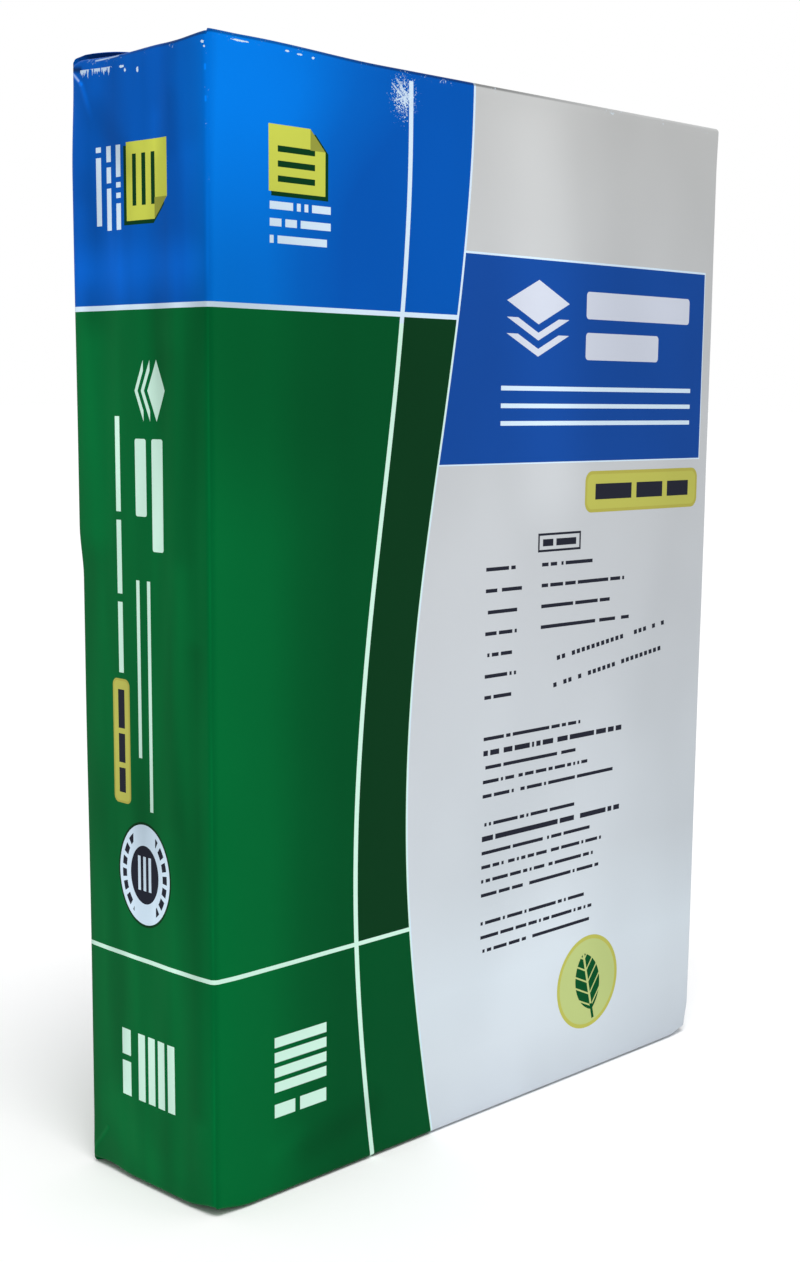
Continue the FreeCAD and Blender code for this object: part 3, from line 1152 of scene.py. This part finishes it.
def lamp(scene, name, kind, place, **settings):
    """Puts a lamp at a place, turned to the middle of the pack."""
    data = bpy.data.lights.new(name, kind)
    for setting, given in settings.items():
        setattr(data, setting, given)
    thing = bpy.data.objects.new(name, data)
    thing.location = place
    away = Vector((0.0, 0.0, HEIGHT / 2)) - place
    thing.rotation_euler = away.to_track_quat("-Z", "Y").to_euler()
    scene.collection.objects.link(thing)


def floor_finish(colour):
    """Plain pale floor without gloss."""
    material = bpy.data.materials.new("floor")
    tree = Tree(material)
    surface = {"Base Color": linear(colour), "Roughness": 0.9, "Specular IOR Level": 0.0}
    shader = tree.add("ShaderNodeBsdfPrincipled", None, surface)
    tree.add("ShaderNodeOutputMaterial", None, {"Surface": shader})
    return material


class REAM_OT_stage(bpy.types.Operator):
    """Makes the floor, the lights and the camera"""

    bl_idname = "ream.stage"
    bl_label = "Make stage"

    def execute(self, context):
        scene = context.scene
        settings = scene.ream_stage
        bm = bmesh.new()
        squares = {"x_segments": FLOOR_SQUARES, "y_segments": FLOOR_SQUARES}
        bmesh.ops.create_grid(bm, size=FLOOR_SIZE, **squares)
        floor = hand_over(bm, "floor", scene)
        floor.data.materials.append(floor_finish(settings.floor))
        self.light(scene, settings)
        self.place_camera(scene)
        scene.view_settings.view_transform = "Standard"
        return {"FINISHED"}

    def light(self, scene, settings):
        """Even white light that shows at full strength in the picture and the gloss, and two lamps."""
        scene.world = bpy.data.worlds.new("studio")
        tree = Tree(scene.world)
        seen = tree.add("ShaderNodeLightPath", output="Is Camera Ray")
        for kind in ("Is Glossy Ray", "Is Transmission Ray"):
            seen = seen.most(tree.add("ShaderNodeLightPath", output=kind))
        strength = tree.add("ShaderNodeMix", None, {0: seen, 2: settings.sky, 3: 1.0})
        sky = {"Color": (1.0, 1.0, 1.0, 1.0), "Strength": strength}
        sky = tree.add("ShaderNodeBackground", None, sky)
        tree.add("ShaderNodeOutputWorld", None, {"Surface": sky})

        lamp(scene, "key", "SUN", KEY_PLACE, energy=settings.key, angle=KEY_SPREAD)
        shape = {"shape": "RECTANGLE", "size": SHEEN_WIDE, "size_y": SHEEN_HIGH}
        lamp(scene, "sheen", "AREA", SHEEN_PLACE, energy=settings.sheen, **shape)

    def place_camera(self, scene):
        """The photo's own camera, with the picture shifted to the row that it was aimed at."""
        camera = bpy.data.objects.new("camera", bpy.data.cameras.new("camera"))
        camera.data.sensor_width = SENSOR
        camera.data.lens = FOCAL_PIXELS / PICTURE_HIGH * SENSOR
        camera.data.shift_y = (AIM_ROW - PICTURE_HIGH / 2) / PICTURE_HIGH
        camera.data.clip_start = 0.01
        level = math.cos(CAMERA_DOWN)
        across, along = math.sin(CAMERA_AZIMUTH) * level, math.cos(CAMERA_AZIMUTH) * level
        ahead = Vector((across, along, -math.sin(CAMERA_DOWN)))
        turn = ahead.to_track_quat("-Z", "Y").to_matrix()
        camera.rotation_euler = (turn @ Matrix.Rotation(CAMERA_ROLL, 3, "Z")).to_euler()
        camera.location = CAMERA_PLACE
        scene.collection.objects.link(camera)
        scene.camera = camera


class REAM_PT_panel(bpy.types.Panel):
    """Buttons and sizes in the sidebar"""

    bl_label = "Wrapped ream"
    bl_idname = "REAM_PT_panel"
    bl_space_type = "VIEW_3D"
    bl_region_type = "UI"
    bl_category = "Ream"

    def draw(self, context):
        layout = self.layout
        scene = context.scene
        for operator in (REAM_OT_wrapper, REAM_OT_stage):
            layout.operator(operator.bl_idname)
        for group in (scene.wrapper_sizes, scene.wrapper_inks, scene.ream_stage):
            box = layout.box()
            for name in group.__annotations__:
                box.prop(group, name)


CLASSES = (
    WrapperSizes,
    WrapperInks,
    StageSettings,
    REAM_OT_wrapper,
    REAM_OT_stage,
    REAM_PT_panel,
)


def register():
    for cls in CLASSES:
        bpy.utils.register_class(cls)
    bpy.types.Scene.wrapper_sizes = bpy.props.PointerProperty(type=WrapperSizes)
    bpy.types.Scene.wrapper_inks = bpy.props.PointerProperty(type=WrapperInks)
    bpy.types.Scene.ream_stage = bpy.props.PointerProperty(type=StageSettings)


def unregister():
    del bpy.types.Scene.ream_stage
    del bpy.types.Scene.wrapper_inks
    del bpy.types.Scene.wrapper_sizes
    for cls in reversed(CLASSES):
        bpy.utils.unregister_class(cls)


def main():
    register()
    bpy.ops.ream.wrapper()
    bpy.ops.ream.stage()


if __name__ == "__main__":
    main()
